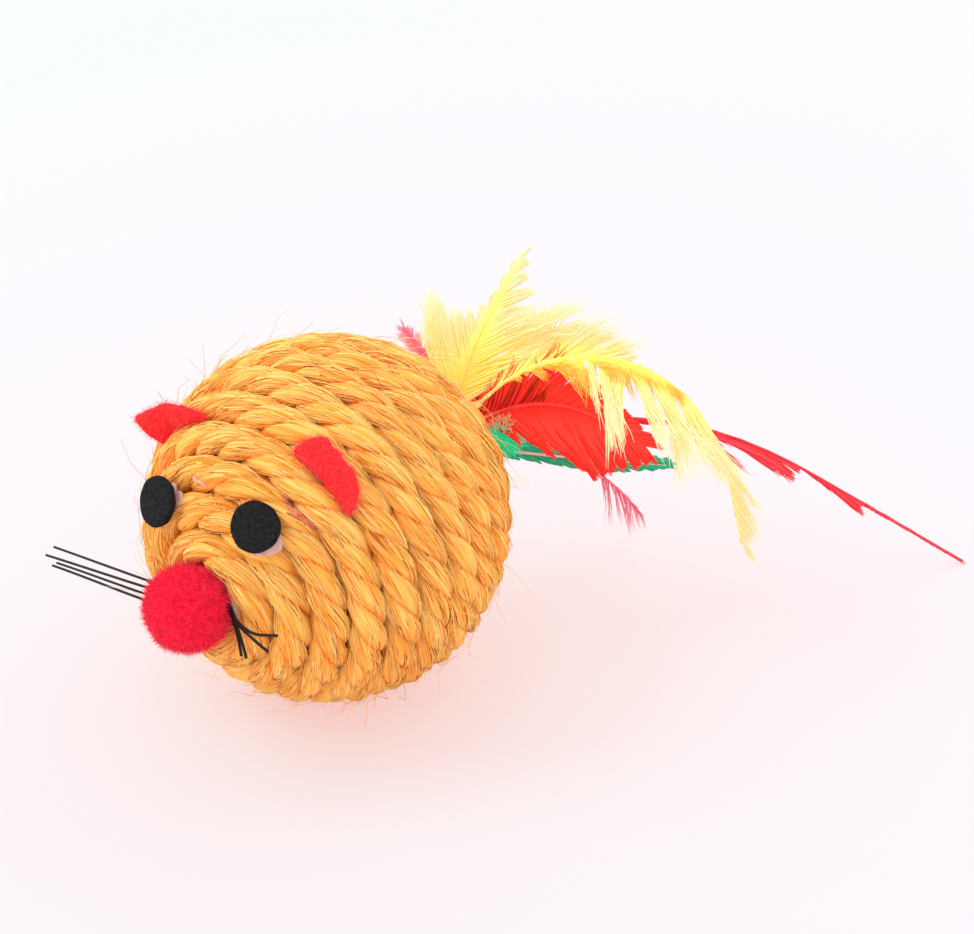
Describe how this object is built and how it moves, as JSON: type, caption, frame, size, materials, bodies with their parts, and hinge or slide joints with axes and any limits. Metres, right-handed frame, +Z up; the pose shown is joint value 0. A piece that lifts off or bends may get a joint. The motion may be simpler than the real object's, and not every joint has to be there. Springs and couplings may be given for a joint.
{
  "type": "cat toy mouse",
  "caption": "Cat toy shaped like a mouse: a rope-wound ball with felt ears and eyes, a pompom nose, bristle whiskers and a tail of feathers.",
  "frame": {"origin": "on the floor, at the middle of the flat on the front one of the two lowest rope loops, on which the ball stands; the ball's middle is 2.4 mm behind it and 24.4 mm above it", "axes": "+Z up; the nose points along -Y and the tail along +Y; +X is the mouse's own left side, where the long feather goes"},
  "size_m": [0.081, 0.1099, 0.0509],
  "materials": {
    "sisal": "matt",
    "core_plastic": "satin",
    "hot_glue": "gloss",
    "pink_pile": "matt",
    "red_felt": "matt",
    "black_felt": "matt",
    "black_nylon": "satin",
    "red_feather": "matt",
    "crimson_feather": "matt",
    "yellow_feather": "matt",
    "green_feather": "matt"
  },
  "bodies": {
    "ball": {"core_front_shell": "core_plastic", "core_rear_shell": "core_plastic", "sisal_rope": "sisal", "nose_glue": "hot_glue", "nose_pompom": "pink_pile", "whisker_1": "black_nylon", "whisker_2": "black_nylon", "whisker_3": "black_nylon", "whisker_4": "black_nylon", "eye_glue_left": "hot_glue", "eye_left": "black_felt", "eye_glue_right": "hot_glue", "eye_right": "black_felt", "ear_left": "red_felt", "ear_glue_left": "hot_glue", "ear_right": "red_felt", "ear_glue_right": "hot_glue", "tail_glue_plug": "hot_glue"},
    "tail": {"long_red_feather": "red_feather", "broad_red_feather": "red_feather", "green_feather": "green_feather", "yellow_upper_plume": "yellow_feather", "yellow_drooping_plume": "yellow_feather", "crimson_left_plume": "crimson_feather", "crimson_low_plume": "crimson_feather"}
  },
  "joints": [
    {"name": "tail_sway", "type": "hinge", "parent": "ball", "child": "tail", "pos_m": [0, 0.02599, 0.02439], "axis": [0, 0, 1], "range_deg": [-15, 15], "stiffness_Nm_per_rad": 0.001}
  ]
}
